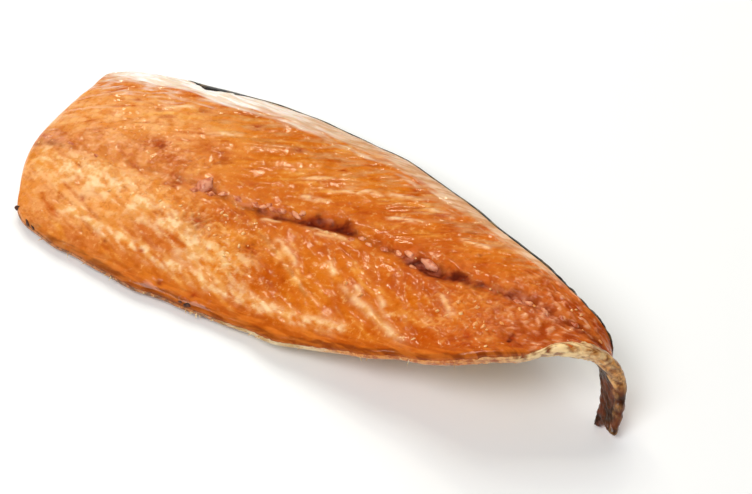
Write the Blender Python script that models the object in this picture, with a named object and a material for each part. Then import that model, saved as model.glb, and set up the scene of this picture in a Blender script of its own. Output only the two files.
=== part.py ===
"""Hot-smoked mackerel fillet: one side of the fish, skin below and flesh up, with its dried tail curled down.

The fillet is a closed body between two sheets that share their border: the domed flesh above and
the skin below. Both are measured along the blood line, from the head cut to the tip of the tail,
and across it, from the belly edge to the back edge. The blood line itself is a path that lies flat
under the loin, rises in a low arch and ends in the twisted hook of the tail, whose tip comes down
to the table.
Blender units are metres; the sizes below are in millimetres and are scaled once, by MM.
"""

import bmesh
import bpy
import numpy as np

MM = 0.001

# Length of the blood line from the head cut to the tip of the tail, along its bends.
FILLET_LENGTH = 251.0
# Thickness of the edge, where the flesh thins out to the skin. The belly edge thickens
# between two places towards the root of the tail.
BELLY_RIM = 2.6
BACK_RIM = 5.0
TAIL_ROOT_RIM = 6.0
RIM_THICKENS = (175.0, 215.0)
# How far the underside rises from the table at its edges, outside the share that lies flat.
BELLY_EDGE_LIFT = 1.6
BACK_EDGE_LIFT = 2.5
FLAT_SHARE = 0.6
HEAD_EDGE_LIFT = 1.2
HEAD_LIFT_REACH = 15.0
TAIL_LIFT_REACH = 60.0
# The dried belly edge curls up at the root of the tail: place, length and height of the curl.
CURL_PLACE = 212.0
CURL_LENGTH = 15.0
CURL_HEIGHT = 2.0
# The head cut falls back from the blood line to the back and belly corners, over this reach.
BACK_CORNER_SETBACK = 3.5
BELLY_CORNER_SETBACK = 12.0
SETBACK_REACH = 60.0
# Rounding of the flesh towards the head cut and the tip of the tail, and the share of the
# head's height that the sharper lip makes up.
HEAD_ROUNDING = 22.0
HEAD_LIP_ROUNDING = 8.0
HEAD_LIP_SHARE = 0.2
TAIL_ROUNDING = 6.0
# Nick torn in the tip of the tail: depth, share across where it sits, width in shares, reach.
TIP_NICK = 1.3
TIP_NICK_SHARE = 0.15
TIP_NICK_WIDTH = 0.3
TIP_NICK_REACH = 10.0

# Stations along the fillet: place, half-width to the back, half-width to the belly, height of flesh.
STATIONS = (
    (0.0, 34.5, 30.0, 6.5),
    (4.0, 38.5, 35.5, 8.5),
    (12.0, 41.5, 39.5, 11.5),
    (25.0, 44.5, 42.5, 13.5),
    (50.0, 48.0, 46.0, 14.5),
    (82.0, 50.0, 47.5, 15.0),
    (117.0, 46.0, 47.5, 14.5),
    (152.0, 33.5, 45.5, 12.5),
    (180.0, 20.0, 40.0, 10.5),
    (197.0, 13.0, 37.0, 9.0),
    (211.0, 8.0, 30.0, 7.5),
    (223.0, 6.0, 16.0, 6.0),
    (231.0, 4.8, 9.0, 4.6),
    (240.0, 3.8, 5.8, 3.4),
    (251.0, 4.6, 4.2, 2.2),
)
# How the blood line turns, in degrees: place, dip towards the table, swing to the belly side,
# roll of the flesh to the back side.
TURNS = (
    (0.0, 0.0, 0.0, 0.0),
    (90.0, 0.0, 0.0, 0.0),
    (120.0, -8.0, 2.0, 0.0),
    (155.0, -15.5, 5.0, 0.0),
    (190.0, -15.5, 9.0, 0.0),
    (205.0, -7.0, 14.0, 0.0),
    (215.0, 4.0, 18.0, 0.0),
    (223.0, 19.2, 24.0, 20.0),
    (230.0, 34.2, 32.0, 62.0),
    (237.0, 45.0, 46.0, 104.0),
    (244.0, 52.2, 66.0, 132.0),
    (251.0, 53.0, 86.0, 145.0),
)
PATH_STEPS = 504

# The groove over the blood line wanders about the path: place, distance to the back side.
GROOVE_COURSE = (
    (0.0, -7.0),
    (22.0, -8.0),
    (68.0, -4.5),
    (92.0, -6.0),
    (125.0, -1.5),
    (175.0, -7.3),
    (210.0, -4.5),
    (251.0, 0.0),
)
GROOVE_WIDTH = 3.2
GROOVE_DEPTH = 1.1
GROOVE_START = 14.0
GROOVE_END = 222.0
# Hollows torn in the groove where pin bones came out: place, length, extra depth.
HOLLOWS = ((74.0, 5.0, 0.5), (104.0, 7.0, 0.8), (121.0, 6.0, 1.5), (169.0, 6.0, 1.6), (201.0, 5.0, 0.9))
HOLLOW_NARROWING = 0.7
# Broad rib marks fanned over the belly: first place, spacing, number, slant, bow, width, depth.
RIB_FIRST = 52.0
RIB_SPACING = 15.0
RIB_COUNT = 9
RIB_SLANT = 0.8
RIB_BOW = 5.0
RIB_WIDTH = 3.0
RIB_DEPTH = 0.32
# Long fold raised across the belly: both ends as place and distance to the back side, width, height.
FOLD_START = (140.0, -23.0)
FOLD_END = (181.0, -39.0)
FOLD_WIDTH = 2.4
FOLD_HEIGHT = 0.7
# Knob of torn flesh on the groove: place, distance to the back side, width, height.
KNOB = (73.0, -4.0, 3.0, 0.9)
# Muscle bands over the back half: spacing along the fillet, backward sweep, bow and height.
BAND_SPACING = 17.0
BAND_SWEEP = 1.0
BAND_BOW = 4.0
BAND_HEIGHT = 0.22
# The relief fades out over these reaches: at the head cut, before the tail, at the edges.
RELIEF_HEAD_FADE = 16.0
RELIEF_TAIL_FADE = 20.0
RELIEF_TAIL_END = 24.0
RELIEF_EDGE_FADE = 6.0
# Waves of the belly edge and the back edge, in and out: wave lengths and reach.
EDGE_WAVE_LENGTHS = (58.0, 33.0, 19.0)
BELLY_EDGE_WAVE = 0.45
BACK_EDGE_WAVE = 0.2

# Columns across the fillet, dense at the groove, and rows along it.
ROWS = 76
BELLY_COLUMNS = 13
GROOVE_COLUMNS = 9
BACK_COLUMNS = 14
GROOVE_SHARES = (-0.26, 0.03)


def clear_scene():
    for obj in list(bpy.data.objects):
        bpy.data.objects.remove(obj, do_unlink=True)


def column(table, index):
    return np.array([row[index] for row in table])


def through(places, values, at):
    """A smooth curve through the stations that never overshoots them."""
    gaps = np.diff(places)
    rises = np.diff(values) / gaps
    slopes = np.zeros(len(places))
    before, after = rises[:-1], rises[1:]
    same_way = before * after > 0
    slopes[1:-1][same_way] = 2 * before[same_way] * after[same_way] / (before + after)[same_way]
    slopes[0], slopes[-1] = rises[0], rises[-1]
    i = np.clip(np.searchsorted(places, at, side="right") - 1, 0, len(places) - 2)
    gap = gaps[i]
    q = (at - places[i]) / gap
    start = (1 + 2 * q) * (1 - q) ** 2 * values[i] + q * (1 - q) ** 2 * gap * slopes[i]
    end = q * q * (3 - 2 * q) * values[i + 1] + q * q * (q - 1) * gap * slopes[i + 1]
    return start + end


def ease(q):
    q = np.clip(q, 0.0, 1.0)
    return q * q * (3 - 2 * q)


def quarter_round(distance, radius):
    """Height of a quarter circle at this distance from its foot, from 0 to 1."""
    q = np.clip(distance / radius, 0.0, 1.0)
    return np.sqrt(1 - (1 - q) ** 2)


def bell(offset, width):
    return np.exp(-((offset / width) ** 2))


def edge_waves(along, lengths):
    """A wavy line: one sine for each length, each a little lower than the last."""
    total = np.zeros_like(along)
    for order, length in enumerate(lengths):
        total += np.sin(2 * np.pi * along / length + 1.7 * order) / (1 + 0.5 * order)
    return total


def blood_line():
    """Points of the blood line's path, with its direction, its side and its upward axis."""
    along = np.linspace(0.0, FILLET_LENGTH, PATH_STEPS)
    places = column(TURNS, 0)
    dip, swing, roll = (np.radians(through(places, column(TURNS, k), along)) for k in (1, 2, 3))
    forward = np.stack([np.cos(dip) * np.cos(swing), -np.cos(dip) * np.sin(swing), -np.sin(dip)], -1)
    level = np.stack([np.sin(dip) * np.cos(swing), -np.sin(dip) * np.sin(swing), np.cos(dip)], -1)
    across = np.cross(level, forward)
    cos_roll, sin_roll = np.cos(roll)[:, None], np.sin(roll)[:, None]
    up = level * cos_roll + across * sin_roll
    side = across * cos_roll - level * sin_roll
    steps = (forward[1:] + forward[:-1]) / 2 * (along[1] - along[0])
    points = np.concatenate([np.zeros((1, 3)), np.cumsum(steps, axis=0)])
    return along, points, forward, side, up


def groove_centre(along):
    return through(column(GROOVE_COURSE, 0), column(GROOVE_COURSE, 1), along)


def relief(along, across, share):
    """Grooves and swellings of the flesh, in millimetres of height."""
    centre = groove_centre(along)
    present = ease((along - GROOVE_START) / 20.0) * ease((GROOVE_END - along) / 20.0)
    height = -GROOVE_DEPTH * present * bell(across - centre, GROOVE_WIDTH)
    for place, length, depth in HOLLOWS:
        height -= depth * bell(along - place, length) * bell(across - centre, GROOVE_WIDTH * HOLLOW_NARROWING)
    inner = ease((1 - np.abs(share)) / 0.25)
    belly_side = ease((-across - 5.0) / 8.0) * inner
    bow = np.sin(np.pi * np.clip(-share, 0, 1))
    for rib in range(RIB_COUNT):
        unlike = np.sin(2.4 * rib)
        line = RIB_FIRST + RIB_SPACING * rib + 2.5 * unlike - RIB_SLANT * across - RIB_BOW * bow
        depth = RIB_DEPTH * (1 + 0.5 * np.sin(1.3 * rib))
        height -= depth * belly_side * bell(along - line, RIB_WIDTH * (1 + 0.3 * unlike))
    course = np.clip((along - FOLD_START[0]) / (FOLD_END[0] - FOLD_START[0]), 0, 1)
    fold_line = FOLD_START[1] + (FOLD_END[1] - FOLD_START[1]) * course
    height += FOLD_HEIGHT * np.sqrt(np.sin(np.pi * course)) * bell(across - fold_line, FOLD_WIDTH)
    height += KNOB[3] * bell(along - KNOB[0], KNOB[2]) * bell(across - KNOB[1], KNOB[2] * 0.7)
    back_side = ease((across - 4.0) / 8.0) * inner
    phase = (along - BAND_SWEEP * across + BAND_BOW * np.sin(along / 13.0 + across / 7.0)) / BAND_SPACING
    height += BAND_HEIGHT * back_side * np.sin(2 * np.pi * phase)
    tail_fade = ease((FILLET_LENGTH - RELIEF_TAIL_END - along) / RELIEF_TAIL_FADE)
    return height * ease(along / RELIEF_HEAD_FADE) * tail_fade


def sheets(along, share):
    """Points of the flesh and of the skin at a place along the fillet and a share across it."""
    places = column(STATIONS, 0)
    back, belly, tall = (through(places, column(STATIONS, k), along) for k in (1, 2, 3))
    to_back = share > 0
    reach = np.abs(share)
    half_width = np.where(to_back, back, belly)
    wave = np.where(to_back, BACK_EDGE_WAVE, BELLY_EDGE_WAVE) * edge_waves(along, EDGE_WAVE_LENGTHS)
    half_width = half_width + wave * ease((half_width - 8.0) / 12.0)
    across = share * half_width
    from_edge = np.minimum(half_width * (1 - reach), np.minimum(along, FILLET_LENGTH - along))

    thickening = ease((along - RIM_THICKENS[0]) / (RIM_THICKENS[1] - RIM_THICKENS[0]))
    belly_rim = BELLY_RIM + (TAIL_ROOT_RIM - BELLY_RIM) * thickening
    rim = np.minimum(belly_rim + (BACK_RIM - belly_rim) * ease((share + 1) / 2), tall)
    body = ease((FILLET_LENGTH - along) / TAIL_LIFT_REACH)
    edge_lift = np.where(to_back, BACK_EDGE_LIFT, BELLY_EDGE_LIFT)
    lift = edge_lift * ease((reach - FLAT_SHARE) / (1 - FLAT_SHARE)) * body
    lift = np.maximum(lift, HEAD_EDGE_LIFT * (1 - ease(along / HEAD_LIFT_REACH)))
    curl = CURL_HEIGHT * bell(along - CURL_PLACE, CURL_LENGTH) * np.where(to_back, 0.0, reach**3)
    lift = lift + curl
    crown = np.where(to_back, (1 - reach**2.6) ** 0.62, (1 - reach**1.6) ** 0.8)
    lip = quarter_round(along, HEAD_LIP_ROUNDING)
    head = quarter_round(along, HEAD_ROUNDING) * (1 - HEAD_LIP_SHARE) + lip * HEAD_LIP_SHARE
    tail = quarter_round(FILLET_LENGTH - along, TAIL_ROUNDING)
    dome = (tall - rim) * crown * head * tail
    bulge = rim / 2 * quarter_round(from_edge, rim / 2)
    inside = ease(from_edge / RELIEF_EDGE_FADE)
    above = lift + rim / 2 + bulge + dome + relief(along, across, share) * inside
    below = lift + rim / 2 - bulge

    setback = np.where(
        to_back, BACK_CORNER_SETBACK * reach**2.4, BELLY_CORNER_SETBACK * reach**1.9
    ) * np.clip(1 - along / SETBACK_REACH, 0, 1) ** 1.6
    path = blood_line()
    point, forward, side, up = (
        np.stack([np.interp(along, path[0], part[:, k]) for k in range(3)], -1) for part in path[1:]
    )
    to_tip = ease(1 - (FILLET_LENGTH - along) / TIP_NICK_REACH)
    nick = TIP_NICK * bell(share - TIP_NICK_SHARE, TIP_NICK_WIDTH) * to_tip
    base = point + forward * (setback - nick)[..., None] + side * across[..., None]
    return base + up * above[..., None], base + up * below[..., None]


def rows_along():
    """Places of the rows, closer together at the head cut and in the hook of the tail."""
    q = np.linspace(0.0, 1.0, ROWS)
    return FILLET_LENGTH * (0.3 * (1 - np.cos(np.pi * q)) / 2 + 0.7 * q)


def columns_across():
    """Shares across, from the belly edge at -1 to the back edge at 1."""
    groove_from, groove_to = GROOVE_SHARES
    belly = -1 + (1 + groove_from) * (1 - np.cos(np.linspace(0, np.pi / 2, BELLY_COLUMNS)))
    groove = np.linspace(groove_from, groove_to, GROOVE_COLUMNS)[1:-1]
    back = groove_to + (1 - groove_to) * np.sin(np.linspace(0, np.pi / 2, BACK_COLUMNS))
    return np.concatenate([belly, groove, back])


def fillet_mesh():
    """The closed mesh: two grids of points whose border rows and columns are the same points."""
    along, share = np.meshgrid(rows_along(), columns_across(), indexing="ij")
    above, below = sheets(along, share)
    rows, columns = along.shape
    every = np.concatenate([above.reshape(-1, 3), below.reshape(-1, 3)])
    centre = (every.min(axis=0) + every.max(axis=0)) / 2
    shift = np.array([centre[0], centre[1], every[:, 2].min()])

    shape = bmesh.new()
    top = [[shape.verts.new((p - shift) * MM) for p in row] for row in above]
    bottom = [list(row) for row in top]
    for i in range(1, rows - 1):
        for j in range(1, columns - 1):
            bottom[i][j] = shape.verts.new((below[i, j] - shift) * MM)
    for i in range(rows - 1):
        for j in range(columns - 1):
            shape.faces.new((top[i][j], top[i + 1][j], top[i + 1][j + 1], top[i][j + 1]))
            shape.faces.new((bottom[i][j + 1], bottom[i + 1][j + 1], bottom[i + 1][j], bottom[i][j]))
    bmesh.ops.triangulate(shape, faces=shape.faces)
    mesh = bpy.data.meshes.new("fillet")
    shape.to_mesh(mesh)
    shape.free()
    mesh.shade_smooth()
    return mesh


def smoked_flesh():
    """Amber, oily flesh."""
    material = bpy.data.materials.new("smoked_flesh")
    material.use_nodes = True
    surface = material.node_tree.nodes["Principled BSDF"]
    surface.inputs["Base Color"].default_value = (0.62, 0.24, 0.055, 1.0)
    surface.inputs["Roughness"].default_value = 0.35
    surface.inputs["Metallic"].default_value = 0.0
    return material


def build_fillet():
    mesh = fillet_mesh()
    mesh.materials.append(smoked_flesh())
    fillet = bpy.data.objects.new("fillet", mesh)
    bpy.context.scene.collection.objects.link(fillet)
    return fillet


clear_scene()
build_fillet()
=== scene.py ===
import bmesh
import bpy
import numpy as np
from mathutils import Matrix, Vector


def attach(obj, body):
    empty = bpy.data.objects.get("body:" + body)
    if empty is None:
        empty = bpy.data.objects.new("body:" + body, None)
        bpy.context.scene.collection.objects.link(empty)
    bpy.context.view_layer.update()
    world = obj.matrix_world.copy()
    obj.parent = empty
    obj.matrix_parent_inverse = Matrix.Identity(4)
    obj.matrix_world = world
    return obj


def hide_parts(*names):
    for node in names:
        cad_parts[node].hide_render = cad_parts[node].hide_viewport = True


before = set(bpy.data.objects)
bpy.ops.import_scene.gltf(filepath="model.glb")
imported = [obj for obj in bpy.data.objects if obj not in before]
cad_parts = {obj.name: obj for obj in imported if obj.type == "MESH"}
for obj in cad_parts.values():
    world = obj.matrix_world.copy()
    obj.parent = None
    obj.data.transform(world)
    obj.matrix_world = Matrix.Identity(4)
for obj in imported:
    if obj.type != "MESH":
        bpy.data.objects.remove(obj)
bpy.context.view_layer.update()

# The flesh: one side of a mackerel, firm and oily, hot-smoked to a translucent amber brown. It is
# domed over the loin, thin along the belly, cut square at the head and dried to a strap at the
# tail. It came off the backbone in one cut and lies on its own skin.
MM = 0.001
FILLET_LENGTH = 251.0
BELLY_RIM, BACK_RIM, TAIL_ROOT_RIM, RIM_THICKENS = 2.6, 5.0, 6.0, (175.0, 215.0)
BELLY_EDGE_LIFT, BACK_EDGE_LIFT, FLAT_SHARE = 1.6, 2.5, 0.6
HEAD_EDGE_LIFT, HEAD_LIFT_REACH, TAIL_LIFT_REACH = 1.2, 15.0, 60.0
CURL_PLACE, CURL_LENGTH, CURL_HEIGHT = 212.0, 15.0, 2.0
BACK_CORNER_SETBACK, BELLY_CORNER_SETBACK, SETBACK_REACH = 3.5, 12.0, 60.0
HEAD_ROUNDING, HEAD_LIP_ROUNDING, HEAD_LIP_SHARE, TAIL_ROUNDING = 22.0, 8.0, 0.2, 6.0
TIP_NICK, TIP_NICK_SHARE, TIP_NICK_WIDTH, TIP_NICK_REACH = 1.3, 0.15, 0.3, 10.0
# Place along the blood line, half-width to the back, half-width to the belly, height of flesh.
STATIONS = np.array((
    (0.0, 34.5, 30.0, 6.5), (4.0, 38.5, 35.5, 8.5), (12.0, 41.5, 39.5, 11.5), (25.0, 44.5, 42.5, 13.5),
    (50.0, 48.0, 46.0, 14.5), (82.0, 50.0, 47.5, 15.0), (117.0, 46.0, 47.5, 14.5),
    (152.0, 33.5, 45.5, 12.5), (180.0, 20.0, 40.0, 10.5), (197.0, 13.0, 37.0, 9.0),
    (211.0, 8.0, 30.0, 7.5), (223.0, 6.0, 16.0, 6.0), (231.0, 4.8, 9.0, 4.6), (240.0, 3.8, 5.8, 3.4),
    (251.0, 4.6, 4.2, 2.2),
))
# Place, dip towards the table, swing to the belly side, roll of the flesh to the back side.
TURNS = np.array((
    (0.0, 0.0, 0.0, 0.0), (90.0, 0.0, 0.0, 0.0), (120.0, -8.0, 2.0, 0.0), (155.0, -15.5, 5.0, 0.0),
    (190.0, -15.5, 9.0, 0.0), (205.0, -7.0, 14.0, 0.0), (215.0, 4.0, 18.0, 0.0),
    (223.0, 19.2, 24.0, 20.0), (230.0, 34.2, 32.0, 62.0), (237.0, 45.0, 46.0, 104.0),
    (244.0, 52.2, 66.0, 132.0), (251.0, 53.0, 86.0, 145.0),
))
GROOVE_COURSE = np.array((
    (0.0, -7.0), (22.0, -8.0), (68.0, -4.5), (92.0, -6.0), (125.0, -1.5), (175.0, -7.3),
    (210.0, -4.5), (251.0, 0.0),
))
GROOVE_WIDTH, GROOVE_DEPTH, GROOVE_START, GROOVE_END = 3.2, 1.1, 14.0, 222.0
HOLLOWS = ((74.0, 5.0, 0.5), (104.0, 7.0, 0.8), (121.0, 6.0, 1.5), (169.0, 6.0, 1.6), (201.0, 5.0, 0.9))
RIB_FIRST, RIB_SPACING, RIB_COUNT, RIB_SLANT, RIB_BOW = 52.0, 15.0, 9, 0.8, 5.0
RIB_WIDTH, RIB_DEPTH = 3.0, 0.32
FOLD_START, FOLD_END, FOLD_WIDTH, FOLD_HEIGHT = (140.0, -23.0), (181.0, -39.0), 2.4, 0.7
KNOB = (73.0, -4.0, 3.0, 0.9)
BAND_SPACING, BAND_SWEEP, BAND_BOW, BAND_HEIGHT = 17.0, 1.0, 4.0, 0.22
EDGE_WAVE_LENGTHS, BELLY_EDGE_WAVE, BACK_EDGE_WAVE = (58.0, 33.0, 19.0), 0.45, 0.2
PATH_POINTS = 504


def through(table, column, at):
    """A smooth curve through one column of a table of stations that never overshoots them."""
    places, values = table[:, 0], table[:, column]
    gaps = np.diff(places)
    rises = np.diff(values) / gaps
    slopes = np.zeros(len(places))
    before, after = rises[:-1], rises[1:]
    same_way = before * after > 0
    slopes[1:-1][same_way] = 2 * before[same_way] * after[same_way] / (before + after)[same_way]
    slopes[0], slopes[-1] = rises[0], rises[-1]
    i = np.clip(np.searchsorted(places, at, side="right") - 1, 0, len(places) - 2)
    q = (at - places[i]) / gaps[i]
    start = (1 + 2 * q) * (1 - q) ** 2 * values[i] + q * (1 - q) ** 2 * gaps[i] * slopes[i]
    return start + q * q * (3 - 2 * q) * values[i + 1] + q * q * (q - 1) * gaps[i] * slopes[i + 1]


def ease(q):
    q = np.clip(q, 0.0, 1.0)
    return q * q * (3 - 2 * q)


def quarter_round(distance, radius):
    q = np.clip(distance / radius, 0.0, 1.0)
    return np.sqrt(1 - (1 - q) ** 2)


def bell(offset, width):
    return np.exp(-((offset / width) ** 2))


def cloud(x, y, seed):
    """Smooth noise over a plane, from about -1 to 1, the same on every run."""
    slopes = np.random.default_rng(seed).normal(0, 1, (64, 64, 2))
    slopes /= np.linalg.norm(slopes, axis=-1, keepdims=True)
    left, low = np.floor(x).astype(int), np.floor(y).astype(int)
    fx, fy = x - left, y - low

    def corner(dx, dy):
        slope = slopes[(left + dx) % 64, (low + dy) % 64]
        return slope[..., 0] * (fx - dx) + slope[..., 1] * (fy - dy)
    u, v = ease(fx), ease(fy)
    near = corner(0, 0) * (1 - u) + corner(1, 0) * u
    far = corner(0, 1) * (1 - u) + corner(1, 1) * u
    return (near * (1 - v) + far * v) * 1.6


def clouds(x, y, seed, layers=3):
    return sum(cloud(x * 2**k, y * 2**k, seed + k) / 2**k for k in range(layers)) / 1.5


def blood_line():
    along = np.linspace(0.0, FILLET_LENGTH, PATH_POINTS)
    dip, swing, roll = (np.radians(through(TURNS, k, along)) for k in (1, 2, 3))
    forward = np.stack([np.cos(dip) * np.cos(swing), -np.cos(dip) * np.sin(swing), -np.sin(dip)], -1)
    level = np.stack([np.sin(dip) * np.cos(swing), -np.sin(dip) * np.sin(swing), np.cos(dip)], -1)
    across = np.cross(level, forward)
    cos_roll, sin_roll = np.cos(roll)[:, None], np.sin(roll)[:, None]
    up = level * cos_roll + across * sin_roll
    side = across * cos_roll - level * sin_roll
    steps = (forward[1:] + forward[:-1]) / 2 * (along[1] - along[0])
    points = np.concatenate([np.zeros((1, 3)), np.cumsum(steps, axis=0)])
    return along, points, forward, side, up


BLOOD_LINE = blood_line()


def at_path(along, part):
    return np.stack([np.interp(along, BLOOD_LINE[0], BLOOD_LINE[part][:, k]) for k in range(3)], -1)


def half_width(along, share):
    width = np.where(share > 0, through(STATIONS, 1, along), through(STATIONS, 2, along))
    wave = sum(
        np.sin(2 * np.pi * along / length + 1.7 * k) / (1 + 0.5 * k)
        for k, length in enumerate(EDGE_WAVE_LENGTHS)
    )
    return width + np.where(share > 0, BACK_EDGE_WAVE, BELLY_EDGE_WAVE) * wave * ease((width - 8) / 12)


def fold_at(along, across, width):
    course = np.clip((along - FOLD_START[0]) / (FOLD_END[0] - FOLD_START[0]), 0, 1)
    fold_line = FOLD_START[1] + (FOLD_END[1] - FOLD_START[1]) * course
    return np.sqrt(np.sin(np.pi * course)) * bell(across - fold_line, width)


def broad_relief(along, across, share):
    """Groove, hollows, rib marks, fold, knob and muscle bands, in millimetres of height."""
    centre = through(GROOVE_COURSE, 1, along)
    present = ease((along - GROOVE_START) / 20.0) * ease((GROOVE_END - along) / 20.0)
    height = -GROOVE_DEPTH * present * bell(across - centre, GROOVE_WIDTH)
    for place, length, depth in HOLLOWS:
        height -= depth * bell(along - place, length) * bell(across - centre, GROOVE_WIDTH * 0.7)
    inner = ease((1 - np.abs(share)) / 0.25)
    belly_side = ease((-across - 5.0) / 8.0) * inner
    bow = np.sin(np.pi * np.clip(-share, 0, 1))
    for rib in range(RIB_COUNT):
        unlike = np.sin(2.4 * rib)
        line = RIB_FIRST + RIB_SPACING * rib + 2.5 * unlike - RIB_SLANT * across - RIB_BOW * bow
        depth = RIB_DEPTH * (1 + 0.5 * np.sin(1.3 * rib))
        height -= depth * belly_side * bell(along - line, RIB_WIDTH * (1 + 0.3 * unlike))
    height += FOLD_HEIGHT * fold_at(along, across, FOLD_WIDTH)
    height += KNOB[3] * bell(along - KNOB[0], KNOB[2]) * bell(across - KNOB[1], KNOB[2] * 0.7)
    back_side = ease((across - 4.0) / 8.0) * inner
    phase = (along - BAND_SWEEP * across + BAND_BOW * np.sin(along / 13.0 + across / 7.0)) / BAND_SPACING
    height += BAND_HEIGHT * back_side * np.sin(2 * np.pi * phase)
    return height * ease(along / 16.0) * ease((FILLET_LENGTH - 24.0 - along) / 20.0)


def seam(along, across, start, end, width):
    """How much a point lies on a short thin line between two points of the flesh, 0 to 1."""
    start, end = np.array(start, dtype=float), np.array(end, dtype=float)
    run = end - start
    length = np.hypot(*run)
    on = ((along - start[0]) * run[0] + (across - start[1]) * run[1]) / length
    off = ((across - start[1]) * run[0] - (along - start[0]) * run[1]) / length
    off = off + 0.5 * cloud(on / 5.0 + start[0], 0 * on + start[1], 11)
    return bell(off, width) * ease(on / (0.25 * length)) * ease((length - on) / (0.25 * length))


def on_course(along, across, course, width):
    """How much a point lies on a line of (place, distance to the back side) points, 0 to 1."""
    course = np.array(course, dtype=float)
    on = np.interp(along, course[:, 0], course[:, 1])
    ends = ease((along - course[0, 0]) / 5.0 + 1) * ease((course[-1, 0] - along) / 5.0 + 1)
    return bell(across - on, width) * ends


# Lines on the flesh, each by its two ends: raised pale ones where fat shows between the flakes, their
# paleness partly a painted highlight, the lips under the blood line, tan ones where ribs lay, and one dark
# crack near the tail.
PALE_SEAMS = (
    ((100, 14), (113, 20)), ((112, 13), (127, 17)), ((116, 17), (134, 19)), ((131, 20), (148, 23)),
    ((138, 9), (156, 12)), ((148, 19), (162, 19)), ((58, 18), (72, 25)), ((36, 24), (48, 31)),
    ((104, 6), (118, 8)), ((106, -13), (124, -22)), ((131, -15), (138, -21)), ((113, -5), (136, -6)),
    ((156, -22), (166, -30)), ((146, -21), (152, -26)), ((168, 9), (182, 9)), ((176, -15), (188, -23)),
)
LINE_LIPS = (((119, -7.4), (134, -5.0)), ((97, -8.9), (106, -6.8)))
TAN_SEAMS = (((101, -14), (117, -22)), ((115, -21), (134, -32)))
DARK_CRACK = ((208, -18.4), (210.6, -24.2))
# Small sunken dark spots: place, distance to the back side, size.
DARK_SPOTS = (
    (79, -19, 3.2), (101, -21.5, 3.6), (209, -21, 1.9), (92, 27.5, 2.0), (112, 25, 1.6), (72, 31, 1.8),
    (53, -37.5, 0.8), (67, -36.3, 1.0), (179, 4.7, 0.8), (26, 24, 1.5), (156, 17.5, 2.6), (63, -8, 2.4),
    (92, -43.5, 1.6), (79, -44, 1.2), (140, 27, 1.2), (48, 6, 2.6), (35, -26, 1.4), (196, -27, 2.0),
)
# Patches where the smoke coloured the flesh deepest: place, distance to the back side, half sizes.
RICH_PATCHES = (
    (88, -12, 11, 4.5), (127, -12, 13, 5), (157, -15, 11, 6), (176, -29, 14, 5), (196, -12, 10, 5),
    (48, 6, 7, 4), (54, 2, 8, 3), (66, 12, 8, 3), (148, 8, 12, 3), (52, -40, 26, 3), (120, -43, 24, 2.5),
    (117, -20, 10, 7), (100, -11, 9, 5), (146, -24, 9, 6), (143, -42, 14, 3), (181, -6, 14, 5),
    (112, -30, 9, 4),
)
# Courses of (place, distance to the back side): blisters on the belly and the back side, pale curdled
# flesh, the pale streak along the belly, beads of fat by the rib marks, crumbly grain at the head.
BELLY_BLISTERS = ((28, -8), (48, -13), (71, -18), (89, -19), (104, -24))
BACK_BLISTERS = ((24, 5), (45, 4), (66, 2))
CURDLED = ((10, -15), (34, -18), (50, -18), (71, -24), (89, -30), (106, -31))
BELLY_STREAK = ((30, -31), (71, -36.5), (92, -38), (131, -39.5), (150, -39))
BEADY = ((74, -18), (88, -25), (99, -31))
CRUMBLY = ((20, -3), (42, 0), (60, 1))
# Place along the fillet and strength of the blood line there.
BLOOD_STRENGTH = (
    (0, 0.5), (8, 0.5), (25, 0.25), (55, 0.3), (70, 0.55), (84, 0.5), (96, 0.7), (108, 0.7), (116, 1.0),
    (130, 1.0), (139, 0.5), (152, 0.6), (160, 0.95), (173, 1.0), (184, 0.7), (200, 0.8), (222, 0.7),
    (232, 0.3),
)
# Place along the fillet and the share of its half-width from which the back is silvery.
SILVER_FROM = (
    (0, 0.82), (15, 0.74), (48, 0.7), (85, 0.72), (131, 0.73), (171, 0.69), (200, 0.66), (222, 0.72),
)
# How far the fibres lean on their way from the blood line to the back and to the belly.
BACK_FAN, BELLY_FAN = 0.45, 0.42


def by_place(along, table):
    """The value that a table of (place, value) rows gives at a place along the fillet."""
    return np.interp(along, *np.array(table, dtype=float).T)


def fibre_clouds(along, across, length, breadth, seed, layers=3):
    """Noise drawn out along the muscle fibres, which fan out from the blood line to both sides."""
    to_back = clouds((along + BACK_FAN * across) / length, (across - BACK_FAN * along + 40) / breadth,
                     seed, layers)
    to_belly = clouds((along - BELLY_FAN * across) / length, (across + BELLY_FAN * along) / breadth,
                      seed, layers)
    back = ease((across + 4.0) / 8.0)
    return to_back * back + to_belly * (1 - back)


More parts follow.
